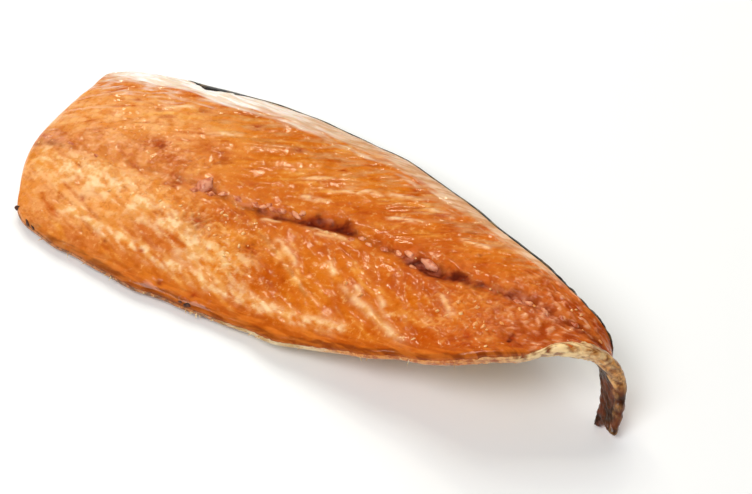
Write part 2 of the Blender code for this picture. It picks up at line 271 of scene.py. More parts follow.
def flesh_marks(along, across, share):
    """Where the flesh is bloody, fatty, blistered, tanned, silvery or dark, each from 0 to 1."""
    mark = {}
    # The blood line, and the brown that it left in the flesh beside it and all over the tail.
    patchy = ease(0.5 + 0.9 * clouds(along / 7.0, across / 4.0, 31))
    off = across - through(GROOVE_COURSE, 1, along) + 1.3 * clouds(along / 7.0, across / 5.0, 21)
    strong = by_place(along, BLOOD_STRENGTH)
    blood = strong * bell(off, 1.2 + 2.0 * strong**1.5) * (0.65 + 0.35 * patchy)
    halo = strong * bell(off - 1.0, 7.5) * (0.35 + 0.65 * patchy)
    whole_width = np.maximum(ease((0.75 - share) / 0.1), ease((along - 196) / 10))
    tail_halo = 1.3 * ease((along - 180) / 34) * (0.45 + 0.55 * patchy) * whole_width
    mark["halo"] = np.maximum(halo, tail_halo)
    mark["blood"] = np.maximum(blood, seam(along, across, *DARK_CRACK, 0.9))

    # Blisters, and pale curdled flesh and fat below and between them.
    blister = on_course(along, across, BELLY_BLISTERS, 7.5)
    back_blister = 0.9 * on_course(along, across, BACK_BLISTERS, 8.0)
    beady = on_course(along, across, BEADY, 5.5)
    beaded = 0.8 * ease(bell(along - 190, 22.0) * bell(across + 19, 11.0) + 0.6 * blood)
    tail_blister = 0.6 * ease((along - 185) / 25) * (share < 0.6)
    mark["bubbly"] = np.max([blister, back_blister, beaded, tail_blister, beady], axis=0)
    pale = on_course(along, across, CURDLED, 6.5)
    pale *= ease(0.55 + 1.2 * fibre_clouds(along, across, 7.0, 2.6, 41, 4)
                 + 0.9 * clouds(along / 15.0, across / 9.0, 42, 2))
    streak = on_course(along, across, BELLY_STREAK, 2.6)
    streak *= ease(0.6 + 1.2 * fibre_clouds(along, across, 7.0, 2.0, 43))
    on_fold = 0.8 * fold_at(along, across, 1.6)
    drops = 0.9 * beady * ease(2.2 * cloud(along / 1.7, across / 1.5, 68) + 0.1)
    mark["pale"] = np.max([pale, streak, on_fold, drops], axis=0)

    # The smoke's colour: deep and peach patches along the fibres, light at the head, dark at the tail.
    tone = 0.55 * fibre_clouds(along, across, 24.0, 8.0, 46, 2)
    tone += 0.45 * fibre_clouds(along, across, 11.0, 2.2, 47)
    deep = ease(-tone * 2.4 - 0.1)
    for place, distance, length, breadth in RICH_PATCHES:
        leaning = along - place + BELLY_FAN * (np.abs(across) - abs(distance))
        near = bell(leaning, length) * bell(across - distance, breadth)
        deep = np.maximum(deep, near * ease(0.75 + tone))
    mark["deep"] = deep
    mark["peach"] = ease(tone * 2.2 - 0.1) * (1 - 0.6 * ease((along - 120) / 80))
    mark["dark"] = ease((along - 74.0) / 112.0) * (0.75 + 0.25 * ease(-share * 2))
    light = ease((90 - along) / 56) * ease((0.95 - share) / 0.6)
    mark["light"] = light * (1 - 0.35 * ease((-share - 0.55) / 0.2))

    # Seams of fat, rib marks and sunken spots.
    # Pale seams of fat between the flakes. Their paleness is partly a painted highlight.
    line = np.max([seam(along, across, *ends, 1.1) for ends in PALE_SEAMS], axis=0)
    line *= ease(0.75 + 1.3 * fibre_clouds(along, across, 4.0, 1.5, 48, 2))
    lip = np.max([seam(along, across, *ends, 0.75) for ends in LINE_LIPS], axis=0)
    mark["line"] = np.maximum(line, lip)
    mark["rib"] = np.max([seam(along, across, *ends, 0.75) for ends in TAN_SEAMS], axis=0)
    spot = np.max([bell(np.hypot(along - p, 1.3 * (across - q)), r) for p, q, r in DARK_SPOTS], axis=0)
    mark["spot"] = spot * ease(0.8 + clouds(along / 1.8, across / 1.5, 49, 2))

    # The back: tan streaks, then silvery flesh beside the skin, and over it towards the head a painted white
    # highlight, partly laid on in short painted strokes.
    tan = ease((share - 0.3) / 0.3) * ease((along - 40) / 30) * ease((222 - along) / 20)
    mark["tan"] = tan * ease(0.35 + 1.3 * fibre_clouds(along, across, 12.0, 2.6, 51))
    silver = ease((share - by_place(along, SILVER_FROM)) / 0.14 + 0.8 * clouds(along / 16.0, share * 24, 81))
    mark["silver"] = silver * (share > 0) * ease((214 - along) / 12)
    painted_highlight = 1.15 * ease((112 - along) / 60) * ease((along + 3) / 14) * mark["silver"]
    painted_highlight *= 1 - 0.5 * ease((share - 0.93) / 0.05)
    painted_highlight_strokes = ease(0.1 + 1.8 * fibre_clouds(along, across, 9.0, 1.5, 83))
    painted_highlight_strokes = 0.7 * ease((60 - along) / 40) * ease((share - 0.45) / 0.3) * painted_highlight_strokes
    mark["painted_highlight"] = np.maximum(painted_highlight, painted_highlight_strokes)

    # The browned edge of the belly and its scorched rim.
    edge = ease((-share - 0.86) / 0.07 + 0.5 * clouds(along / 13.0, across / 1.4, 91))
    mark["edge"] = edge * (0.3 + 0.7 * ease((along - 35) / 40))
    rim = ease((-share - 0.955 + 0.012 * cloud(along / 4.0, 0 * along, 93)) / 0.015)
    mark["rim"] = rim * ease((along - 8) / 25)

    # Mauve torn flesh: at the lump, the head cut and the tail's root, and along the blood line.
    torn_places = (
        (across, 73, 4.5, -4.5, 3.0, 1.0), (across, 8, 9.0, -4.0, 3.2, 0.8), (off, 92, 12.0, 1.6, 2.4, 0.5),
        (across, 205, 13.0, -6.0, 2.6, 0.55), (off, 162, 9.0, 0.8, 2.4, 0.45),
    )
    mauve = sum(most * bell(along - place, length) * bell(side - distance, breadth)
                for side, place, length, distance, breadth, most in torn_places)
    mark["mauve"] = np.clip(mauve * ease(0.5 + 1.4 * clouds(along / 2.8, across / 1.5, 95)), 0, 1)

    # Crumbly grain: flesh that broke up beside the head's blood line and dried over the tail's root.
    tail_crumbs = ease((along - 192) / 18) * ease((226 - along) / 6) * ease((across + 24) / 6)
    mark["crumbly"] = np.maximum(on_course(along, across, CRUMBLY, 8.5), tail_crumbs)
    mark["grains"] = mark["crumbly"] * ease(2.6 * cloud(along / 1.7, across / 1.2, 97) - 0.25)
    return mark


# How far each mark stands up from the flesh, in millimetres.
MARK_HEIGHTS = {"grains": 0.28, "mauve": 0.35, "line": 0.3, "rib": 0.2, "spot": -0.3, "pale": 0.18}


def fine_relief(along, across, share, mark):
    """Fibres, flake edges, blisters, torn blood line and creases, in millimetres of height."""
    height = 0.15 * fibre_clouds(along, across, 13.0, 1.3, 61, 1)
    height += 0.3 * fibre_clouds(along, across, 20.0, 3.0, 62, 1)
    height += 0.14 * fibre_clouds(along, across, 6.0, 2.6, 73, 2)
    height += 0.3 * clouds(along / 11.0, across / 8.0, 69, 2)
    phase = (along - across * 0.8 + 3.0 * clouds(along / 18.0, across / 9.0, 65)) / 8.0
    saw = phase - np.floor(phase)
    broken = ease((across + 3.0) / 6.0) * ease(0.1 + 1.6 * cloud(along / 11.0, across / 5.0, 66))
    height += 0.26 * broken * (saw * ease((1 - saw) / 0.16) - 0.4)
    ridges = 1 - np.abs(fibre_clouds(along, across, 3.6, 1.9, 67, 2)) * 2.2
    height += mark["bubbly"] * 0.48 * (np.clip(ridges, -0.3, 1.0) - 0.3)
    beads = np.clip(cloud(along / 1.7, across / 1.5, 68), 0.0, 0.8)
    height += (0.05 + mark["bubbly"] * 0.6) * beads
    torn = 0.3 * clouds(along / 3.4, across / 1.5, 70) + 0.12 * cloud(along / 1.4, across / 1.1, 71)
    height += np.clip(mark["blood"] * 1.4, 0, 1) * torn
    height += mark["silver"] * 0.16 * clouds(along / 8.0, share * 24, 74, 2)
    return height + sum(rise * mark[key] for key, rise in MARK_HEIGHTS.items())


def section(along, share):
    """Foot of a section, its upward axis, heights of skin and bare flesh, and where relief may be."""
    tall = through(STATIONS, 3, along)
    to_back, reach = share > 0, np.abs(share)
    width = half_width(along, share)
    across = share * width
    from_edge = np.minimum(width * (1 - reach), np.minimum(along, FILLET_LENGTH - along))
    thickening = ease((along - RIM_THICKENS[0]) / (RIM_THICKENS[1] - RIM_THICKENS[0]))
    belly_rim = BELLY_RIM + (TAIL_ROOT_RIM - BELLY_RIM) * thickening
    rim = np.minimum(belly_rim + (BACK_RIM - belly_rim) * ease((share + 1) / 2), tall)
    lift = np.where(to_back, BACK_EDGE_LIFT, BELLY_EDGE_LIFT) * ease((reach - FLAT_SHARE) / (1 - FLAT_SHARE))
    lift = lift * ease((FILLET_LENGTH - along) / TAIL_LIFT_REACH)
    lift = np.maximum(lift, HEAD_EDGE_LIFT * (1 - ease(along / HEAD_LIFT_REACH)))
    lift = lift + CURL_HEIGHT * bell(along - CURL_PLACE, CURL_LENGTH) * np.where(to_back, 0.0, reach**3)
    crown = np.where(to_back, (1 - reach**2.6) ** 0.62, (1 - reach**1.6) ** 0.8)
    lip = quarter_round(along, HEAD_LIP_ROUNDING)
    head = quarter_round(along, HEAD_ROUNDING) * (1 - HEAD_LIP_SHARE) + lip * HEAD_LIP_SHARE
    dome = (tall - rim) * crown * head * quarter_round(FILLET_LENGTH - along, TAIL_ROUNDING)
    bulge = rim / 2 * quarter_round(from_edge, rim / 2)
    setback = np.where(
        to_back, BACK_CORNER_SETBACK * reach**2.4, BELLY_CORNER_SETBACK * reach**1.9
    ) * np.clip(1 - along / SETBACK_REACH, 0, 1) ** 1.6
    to_tip = ease(1 - (FILLET_LENGTH - along) / TIP_NICK_REACH)
    nick = TIP_NICK * bell(share - TIP_NICK_SHARE, TIP_NICK_WIDTH) * to_tip
    foot = at_path(along, 1) + at_path(along, 2) * (setback - nick)[..., None]
    foot = foot + at_path(along, 3) * across[..., None]
    return foot, at_path(along, 4), lift + rim / 2 - bulge, lift + rim / 2 + bulge + dome, across, from_edge


def seat():
    """What brings the fillet to the middle of the frame, with its skin on the table."""
    along, share = np.meshgrid(np.linspace(0, FILLET_LENGTH, 300), np.linspace(-1, 1, 81), indexing="ij")
    foot, up, low, high, across, from_edge = section(along, share)
    high = high + broad_relief(along, across, share) * ease(from_edge / 6.0)
    every = np.concatenate([(foot + up * h[..., None]).reshape(-1, 3) for h in (low, high)])
    centre = (every.min(axis=0) + every.max(axis=0)) / 2
    return np.array([centre[0], centre[1], every[:, 2].min()])


SEAT = seat()


def flesh_top(along, share):
    """Points of the dressed flesh, its distances across, its marks and its fine relief."""
    foot, up, low, high, across, from_edge = section(along, share)
    mark = flesh_marks(along, across, share)
    inside = ease(from_edge / 6.0)
    fine = fine_relief(along, across, share, mark) * (0.25 + 0.75 * inside) * ease(from_edge / 1.5)
    high = high + broad_relief(along, across, share) * inside + fine
    return foot + up * high[..., None] - SEAT, across, mark, fine


def mesh_object(name, points, faces, uvs=None, numbers=None, materials=()):
    """A mesh piece in metres from points in millimetres, with its map and its point numbers."""
    mesh = bpy.data.meshes.new(name)
    mesh.from_pydata((np.asarray(points).reshape(-1, 3) * MM).tolist(), [], faces)
    if uvs is not None:
        layer = mesh.uv_layers.new(name="fillet_map")
        corners = np.empty(len(mesh.loops), dtype=np.int32)
        mesh.loops.foreach_get("vertex_index", corners)
        layer.data.foreach_set("uv", np.asarray(uvs, dtype=np.float32)[corners].ravel())
    for key, values in (numbers or {}).items():
        data = mesh.attributes.new(key, "FLOAT", "POINT")
        data.data.foreach_set("value", np.asarray(values, dtype=np.float32).ravel())
    for material in materials:
        mesh.materials.append(material)
    mesh.shade_smooth()
    piece = bpy.data.objects.new(name, mesh)
    bpy.context.scene.collection.objects.link(piece)
    return piece


MAP_SPAN, MAP_TOP, MAP_UNDER, MAP_LIP = 260.0, 65, 195, 60
FLESH_ROWS, FLESH_COLUMNS, UNDER_STEP = 433, 193, 8
END_CROWDING, EDGE_CROWDING, UNDER_GAP, TABLE_GAP, RELIEF_SHADING_PER_MM = 0.12, 1.2, 0.45, 0.02, 1.1
steps = np.linspace(0, 1, FLESH_ROWS)
along_rows = FILLET_LENGTH * (
    END_CROWDING * (1 - np.cos(np.pi * steps)) / 2 + (1 - END_CROWDING) * steps)
share_columns = np.sin(np.linspace(-1, 1, FLESH_COLUMNS) * EDGE_CROWDING) / np.sin(EDGE_CROWDING)
ALONG, SHARE = np.meshgrid(along_rows, share_columns, indexing="ij")
top_points, ACROSS, marks, fine = flesh_top(ALONG, SHARE)
coarse = (slice(None, None, UNDER_STEP), slice(None, None, UNDER_STEP))
foot, up, low, high, under_across, _ = section(ALONG[coarse], SHARE[coarse])
under_points = foot + up * (low + UNDER_GAP)[..., None] - SEAT
number = np.arange(ALONG.size).reshape(ALONG.shape)
under_number = number[coarse].copy()
inner = np.zeros(under_number.shape, bool)
inner[1:-1, 1:-1] = True
under_number[inner] = ALONG.size + np.arange(inner.sum())


def edge_run(start, end):
    """Numbers from one coarse corner up to the next, with every fine point along the border."""
    (i, j), (k, l) = start, end
    last_row, last_column = np.array(under_number.shape) - 1
    if (i == k and i in (0, last_row)) or (j == l and j in (0, last_column)):
        steps = np.arange(UNDER_STEP)
        return number[i * UNDER_STEP + (k - i) * steps, j * UNDER_STEP + (l - j) * steps].tolist()
    return [int(under_number[i, j])]


def cells_of(grid):
    """The four corners of every cell in a grid of point numbers."""
    return np.stack([grid[:-1, :-1], grid[1:, :-1], grid[1:, 1:], grid[:-1, 1:]], -1).reshape(-1, 4)


faces = cells_of(number).tolist()
for i in range(under_number.shape[0] - 1):
    for j in range(under_number.shape[1] - 1):
        corners = ((i, j + 1), (i + 1, j + 1), (i + 1, j), (i, j))
        faces.append(sum((edge_run(a, b) for a, b in zip(corners, corners[1:] + corners[:1])), []))
# The fine relief's height. The flesh colour follows it as painted shade in the hollows and painted highlight
# on the crests.
marks["relief_height"] = np.clip(0.5 + fine * RELIEF_SHADING_PER_MM, 0, 1)
top_points[..., 2] = np.maximum(top_points[..., 2], TABLE_GAP)
flesh_uv = np.concatenate([
    np.stack([ALONG, MAP_TOP + ACROSS], -1).reshape(-1, 2),
    np.stack([ALONG[coarse][inner], MAP_UNDER + under_across[inner]], -1),
]) / MAP_SPAN
flesh_numbers = {key: np.concatenate([v.ravel(), np.zeros(inner.sum())]) for key, v in marks.items()}


def paint(red, green, blue):
    """A colour as the eye reads it, 0 to 255, as the light values that a shader mixes."""
    seen = np.array((red, green, blue)) / 255.0
    light = np.where(seen <= 0.04045, seen / 12.92, ((seen + 0.055) / 1.055) ** 2.4)
    return (*light.tolist(), 1.0)


def finish(name):
    material = bpy.data.materials.new(name)
    material.use_nodes = True
    return material, material.node_tree, material.node_tree.nodes["Principled BSDF"]


def fill(tree, node, inputs):
    """Gives a node a value or a link for each named input."""
    for key, value in inputs.items():
        if isinstance(value, bpy.types.NodeSocket):
            tree.links.new(value, node.inputs[key])
        else:
            node.inputs[key].default_value = value


def put(tree, kind, inputs=None, **settings):
    """A shader node with its settings, and with a value or a link for each named input."""
    node = tree.nodes.new("ShaderNode" + kind)
    for key, value in settings.items():
        setattr(node, key, value)
    fill(tree, node, inputs or {})
    return node


def number_of(tree, key):
    return put(tree, "Attribute", attribute_name=key).outputs["Fac"]


def sums(tree, operation, *values):
    return put(tree, "Math", dict(enumerate(values)), operation=operation).outputs[0]


def blend_colours(tree, factor, first, second):
    return put(tree, "Mix", {0: factor, 6: first, 7: second}, data_type="RGBA").outputs[2]


def spread(tree, value, low, high, to_low=0.0, to_high=1.0):
    limits = {0: value, 1: low, 2: high, 3: to_low, 4: to_high}
    return put(tree, "MapRange", limits, interpolation_type="SMOOTHSTEP").outputs[0]


def speckle(tree, where, scale, detail=3.0, rough=0.55, distortion=0.0, stretch=(1.0, 1.0, 1.0)):
    """Noise, from 0 to 1, its grain stretched along the axes."""
    placed = put(tree, "Mapping", {"Vector": where, "Scale": tuple(1 / s for s in stretch)}).outputs[0]
    node = put(tree, "TexNoise", {"Vector": placed, "Scale": scale, "Detail": detail, "Roughness": rough,
                                  "Distortion": distortion})
    return node.outputs["Fac"]


def coats(tree, colour, layers):
    """Coats over a colour: mark, most, two tones, and the pattern that the two tones follow."""
    for mark, most, low, high, pattern in layers:
        where = number_of(tree, mark) if isinstance(mark, str) else mark
        tones = blend_colours(tree, spread(tree, pattern, 0.4, 0.6), paint(*low), paint(*high))
        colour = blend_colours(tree, sums(tree, "MULTIPLY", where, most), colour, tones)
    return colour


flesh_finish, tree, shader = finish("smoked_flesh")
at_object = put(tree, "TexCoord").outputs["Object"]
at_map = put(tree, "UVMap", uv_map="fillet_map").outputs[0]
broad = speckle(tree, at_object, 60.0, 3.0)
middling = speckle(tree, at_object, 240.0, 4.0)
streaks = speckle(tree, at_map, 22.0, 4.0, 0.55, 0.3, stretch=(1.0, 0.14, 1.0))
fine_mottle = speckle(tree, at_object, 620.0, 3.0)
relief_height, blood = number_of(tree, "relief_height"), number_of(tree, "blood")
colour = blend_colours(tree, spread(tree, broad, 0.36, 0.64), paint(204, 102, 12), paint(217, 121, 26))
colour = coats(tree, colour, (
    ("light", 0.85, (232, 150, 74), (243, 176, 112), middling),
    ("dark", 0.9, (188, 80, 6), (208, 104, 14), broad),
    ("deep", 0.8, (178, 68, 6), (200, 92, 14), middling),
    ("peach", 0.7, (230, 142, 44), (240, 172, 82), middling),
    (spread(tree, streaks, 0.56, 0.74), 0.25, (238, 150, 56), (246, 174, 86), middling),
    (spread(tree, streaks, 0.45, 0.3), 0.18, (180, 74, 10), (200, 94, 20), middling),
    # Painted shade in the hollows of the fine relief, painted highlight on its crests.
    (spread(tree, relief_height, 0.42, 0.15), 0.6, (160, 58, 8), (186, 82, 16), middling),
    (spread(tree, relief_height, 0.62, 0.95), 0.4, (234, 144, 54), (244, 174, 88), middling),
    (spread(tree, fine_mottle, 0.54, 0.7), 0.4, (234, 160, 76), (246, 194, 120), middling),
    (spread(tree, fine_mottle, 0.46, 0.32), 0.35, (176, 74, 8), (202, 98, 20), middling),
    ("halo", 0.7, (166, 62, 16), (196, 92, 34), middling),
    ("tan", 0.6, (192, 128, 72), (214, 160, 108), middling),
    ("pale", 0.85, (234, 170, 98), (252, 218, 168), middling),
    ("line", 0.7, (246, 190, 128), (252, 216, 170), middling),
    ("rib", 0.85, (196, 122, 58), (244, 184, 118), middling),
    ("edge", 0.75, (178, 78, 12), (212, 112, 34), streaks),
    ("silver", 0.85, (204, 154, 110), (230, 196, 164), streaks),
    # Painted highlight: white over the silvery back edge towards the head.
    ("painted_highlight", 0.85, (240, 216, 192), (255, 250, 244), streaks),
    (spread(tree, blood, 0.1, 0.7), 0.95, (94, 24, 4), (148, 56, 14), middling),
    (spread(tree, blood, 0.5, 0.9), 0.92, (74, 10, 2), (106, 26, 6), middling),
    ("crumbly", 0.35, (170, 70, 18), (206, 108, 44), middling),
    ("grains", 0.55, (212, 124, 84), (246, 184, 140), middling),
    ("mauve", 0.75, (164, 78, 50), (226, 152, 126), middling),
    ("spot", 0.9, (128, 34, 4), (176, 62, 12), middling),
    ("rim", 0.6, (104, 44, 12), (176, 90, 28), streaks),
))
dull = sums(tree, "MAXIMUM", blood, number_of(tree, "spot"))
roughness = sums(
    tree, "ADD", spread(tree, middling, 0.35, 0.65, 0.26, 0.42), sums(tree, "MULTIPLY", dull, 0.45))
fine_pores = sums(tree, "MULTIPLY", speckle(tree, at_object, 600.0, 2.0), 0.4)
pores = sums(tree, "ADD", sums(tree, "MULTIPLY", streaks, 0.6), fine_pores)
bumped = put(tree, "Bump", {"Height": pores, "Strength": 0.4, "Distance": 0.0004}).outputs[0]
fill(tree, shader, {
    "Base Color": colour, "Roughness": roughness, "Normal": bumped, "Coat Normal": bumped,
    "Coat Weight": spread(tree, dull, 0.1, 0.6, 0.5, 0.06), "Coat Roughness": 0.07,
    "Specular IOR Level": 0.08, "Specular Tint": (1.0, 0.85, 0.6, 1.0),
    "Subsurface Weight": 0.15, "Subsurface Radius": (1.0, 0.3, 0.1), "Subsurface Scale": 0.0012,
})
flesh = mesh_object("flesh", np.concatenate([top_points.reshape(-1, 3), under_points[inner]]), faces,
                    flesh_uv, flesh_numbers, (flesh_finish,))
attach(flesh, "root")
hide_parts("fillet")

# The skin: thin, tough and bronzed by the smoke, black and barred over the back, silver and gold
# below. It was left on the flesh, wraps both edges, frays along the belly and shrank round the tail
# into a golden, blistered band.
SKIN_THICKNESS, SKIN_PROUD = 0.6, 0.25
SKIN_ROWS, SKIN_COLUMNS = 361, 97
LIP_TURN = 0.12
BELLY_LIP = np.array(((0, 0.002), (206, 0.002), (213, 0.003), (217, 0.01), (219, 0.04), (221.5, 0.3),
                      (224, 0.5), (232, 0.5), (240, 0.42), (251, 0.4)))
# The back lip reaches furthest near the head and over the tail. There its dark skin also stands in for
# painted shade along the back edge.
BACK_LIP = np.array(((0, 0.012), (33, 0.016), (39, 0.07), (44, 0.12), (53, 0.11), (60, 0.05), (120, 0.036),
                     (150, 0.05), (175, 0.09), (200, 0.15), (222, 0.16), (232, 0.2), (251, 0.2)))


def skin_surface(along, turn):
    """Points of the skin's outer face; turn runs from the belly lip, under the fillet, to the back lip."""
    belly_lip = np.interp(along, BELLY_LIP[:, 0], BELLY_LIP[:, 1])
    back_lip = np.interp(along, BACK_LIP[:, 0], BACK_LIP[:, 1])
    ragged = clouds(along / 2.2, 0 * along, 101) * 0.004
    belly_lip = np.maximum(belly_lip + np.where(along < 200, np.clip(ragged, 0, 1), ragged), 0)
    back_turn = 1 - LIP_TURN
    on_top = (turn < LIP_TURN) | (turn > back_turn)
    share = np.where(turn < LIP_TURN, -1 + belly_lip * (np.abs(LIP_TURN - turn) / LIP_TURN) ** 2, 0.0)
    share = np.where(turn > back_turn, 1 - back_lip * (np.abs(turn - back_turn) / LIP_TURN) ** 2, share)
    under = np.clip((turn - LIP_TURN) / (back_turn - LIP_TURN), 0, 1)
    share = np.where(on_top, share, -np.cos(np.pi * under))
    foot, up, low, high, across, from_edge = section(along, share)
    return foot + up * np.where(on_top, high, low)[..., None] - SEAT, across, share, on_top


steps = np.linspace(0, 1, SKIN_ROWS)
skin_rows = FILLET_LENGTH * (1 - (1 - steps) ** 1.25)
SKIN_ALONG, TURN = np.meshgrid(skin_rows, np.linspace(0, 1, SKIN_COLUMNS), indexing="ij")
skin_points, skin_across, skin_share, on_top = skin_surface(SKIN_ALONG, TURN)


def outward(points):
    """The outward direction at each point of a grid."""
    rows = np.gradient(points, axis=0)
    columns = np.gradient(points, axis=1)
    normal = np.cross(columns, rows)
    return normal / np.maximum(np.linalg.norm(normal, axis=-1, keepdims=True), 1e-9)


skin_out = outward(skin_points)
near_rim = bell(TURN - LIP_TURN, 0.1) + bell(1 - LIP_TURN - TURN, 0.1) + on_top
folds = clouds(SKIN_ALONG / 2.6, skin_across / 1.5 + 50 * on_top, 111)
slanting = clouds((SKIN_ALONG + skin_across) / 3.4, skin_across / 2.2 + 50 * on_top, 116, 2)
wrinkles = 0.45 - 1.9 * np.abs(slanting)
creases = (0.75 * folds + 0.8 * wrinkles) * ease((SKIN_ALONG - 188) / 22)
proud = SKIN_PROUD * np.clip(near_rim, 0, 1) + 0.45 * creases
proud += 0.1 * clouds(SKIN_ALONG / 9.0, skin_across / 5.0, 121)
proud += 0.3 * bell(SKIN_ALONG - 226, 3.5) * ease(0.5 + clouds(SKIN_ALONG / 2.0, TURN * 9, 131))
fin = ease((SKIN_ALONG - 40) / 40) * ease((205 - SKIN_ALONG) / 12) * bell(TURN - 0.1, 0.035)
proud += fin * (0.1 + 0.7 * np.clip(clouds(SKIN_ALONG / 2.6, 0 * TURN, 141), -0.4, 1))
outer_skin = skin_points + skin_out * proud[..., None]
inner_skin = skin_points - skin_out * SKIN_THICKNESS
for sheet in (outer_skin, inner_skin):
    sheet[..., 2] = np.maximum(sheet[..., 2], TABLE_GAP)
rows, columns = TURN.shape
outer_number = np.arange(rows * columns).reshape(rows, columns)
inner_number = outer_number + rows * columns
ring = np.concatenate([outer_number[0, :-1], outer_number[:-1, -1], outer_number[-1, :0:-1],
                       outer_number[:0:-1, 0]])
after = np.roll(ring, -1)
outer_cells = np.stack([outer_number[:-1, :-1], outer_number[:-1, 1:], outer_number[1:, 1:],
                        outer_number[1:, :-1]], -1).reshape(-1, 4)
border = np.stack([after, ring, ring + rows * columns, after + rows * columns], -1)
quads = np.concatenate([outer_cells, cells_of(inner_number), border])
skin_v = MAP_TOP + np.where(on_top, MAP_LIP * np.sign(skin_share), skin_across)
skin_uv = np.stack([SKIN_ALONG, skin_v], -1).reshape(-1, 2) / MAP_SPAN
# Painted shade: the hook's side turned from the light is darkened with the charred colour. Past 232 mm the
# tail's tip is charred all round.
shaded_side_from = np.interp(SKIN_ALONG, (226, 232, 237, 243), (-0.95, -0.85, -0.65, -0.6))
shaded_side = ease((skin_share - shaded_side_from) / 0.3)
char_and_shade = 1.3 * shaded_side * ease((SKIN_ALONG - 223) / 7) + ease((SKIN_ALONG - 232) / 9)
near_belly_lip = TURN < 0.3
stain = ease((SKIN_ALONG - 138) / 22 + 0.5 * clouds(SKIN_ALONG / 5.0, TURN * 20, 181))
stain *= 0.3 * ease((209 - SKIN_ALONG) / 5) + 0.7 * ease((218 - SKIN_ALONG) / 5)
stain += 0.4 * ease(clouds(SKIN_ALONG / 4.0, TURN * 30, 191) * 2)
singe = ease((112 - SKIN_ALONG + 14 * clouds(SKIN_ALONG / 5.0, TURN * 20, 201)) / 12)
golden = ease((SKIN_ALONG - 185) / 25) * (1 - 0.8 * ease((SKIN_ALONG - 236) / 12))
golden *= ease((0.6 - TURN) / 0.2 + 3 * ease((SKIN_ALONG - 222) / 8))
skin_numbers = {
    "share": skin_share,
    "golden": golden,
    # Browned and charred skin, deeper in the hollows of the creases as painted shade. The charred colour also
    # carries the hook's painted shade.
    "browned": ease((SKIN_ALONG - 220) / 12 - 0.9 * creases),
    "charred": ease(char_and_shade - 0.15 - 0.6 * creases),
    "crease": np.clip(0.5 + creases, 0, 1),
    "singed": near_belly_lip * singe,
    "stained": near_belly_lip * stain,
}

skin_finish, tree, shader = finish("smoked_skin")
at_map = put(tree, "UVMap", uv_map="fillet_map").outputs[0]
at_object = put(tree, "TexCoord").outputs["Object"]
share_number = number_of(tree, "share")
wander = speckle(tree, at_map, 9.0, 2.0)
bar_place = put(tree, "Mapping", {"Vector": at_map, "Scale": (1.0, 0.3, 1.0)}).outputs[0]
bars = put(tree, "TexWave", {"Vector": bar_place, "Scale": 8.0, "Distortion": 13.0, "Detail": 3.0,
                             "Detail Scale": 2.4}).outputs["Fac"]
mottle = speckle(tree, at_object, 160.0, 4.0)
fine_mottle = speckle(tree, at_object, 520.0, 4.0, 0.6)
crinkled = speckle(tree, at_object, 300.0, 5.0, 0.7, 1.5)
back_side = spread(tree, sums(tree, "ADD", share_number, sums(tree, "MULTIPLY", wander, 0.3)), 0.2, 0.5)
silver_gold = blend_colours(tree, spread(tree, mottle, 0.35, 0.65), paint(190, 150, 92), paint(226, 206, 168))
back_ground = blend_colours(tree, spread(tree, mottle, 0.35, 0.65), paint(48, 38, 28), paint(108, 82, 46))
barred = sums(tree, "ADD", bars, sums(tree, "MULTIPLY", wander, 0.7))
back_colour = blend_colours(tree, spread(tree, barred, 0.55, 0.95), back_ground, paint(24, 18, 17))
colour = blend_colours(tree, back_side, silver_gold, back_colour)
# The tail's band: pale cream on the crests of its creases and brown in their hollows. The brown is partly the
# skin's own browning and partly painted shade.
crinkle = sums(tree, "ADD", number_of(tree, "crease"), sums(tree, "MULTIPLY", fine_mottle, 1.4))
cream = blend_colours(tree, spread(tree, crinkle, 0.75, 1.5), paint(158, 98, 42), paint(250, 216, 158))
colour = blend_colours(tree, number_of(tree, "golden"), colour, cream)
colour = coats(tree, colour, (
    ("stained", 0.85, (178, 84, 22), (220, 142, 70), fine_mottle),
    ("singed", 0.85, (104, 48, 16), (190, 108, 44), fine_mottle),
    ("browned", 0.8, (116, 60, 18), (208, 140, 64), crinkled),
    # Charred: the tail's tip, and painted shade on the hook's shaded side.
    ("charred", 0.95, (36, 11, 4), (104, 44, 12), mottle),
))
scale_place = put(tree, "Mapping", {"Vector": at_map, "Scale": (1.0, 1.5, 1.0)}).outputs[0]
scales = put(tree, "TexVoronoi", {"Vector": scale_place, "Scale": 330.0}, feature="F1").outputs["Distance"]
rough_skin = sums(tree, "ADD", sums(tree, "MULTIPLY", scales, 0.5), speckle(tree, at_object, 700.0, 3.0))
bumped = put(tree, "Bump", {"Height": rough_skin, "Strength": 0.45, "Distance": 0.0003}).outputs[0]
fill(tree, shader, {
    "Base Color": colour, "Roughness": spread(tree, mottle, 0.3, 0.7, 0.28, 0.5), "Normal": bumped,
    "Coat Weight": 0.3, "Coat Roughness": 0.16, "Specular IOR Level": 0.25,
    "Subsurface Weight": 0.08, "Subsurface Radius": (1.0, 0.5, 0.2), "Subsurface Scale": 0.001,
})
skin = mesh_object("skin", np.concatenate([outer_skin.reshape(-1, 3), inner_skin.reshape(-1, 3)]),
                   quads.tolist(), np.tile(skin_uv, (2, 1)),
                   {key: np.tile(values.ravel(), 2) for key, values in skin_numbers.items()},
                   (skin_finish,))
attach(skin, "root")
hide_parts("fillet")

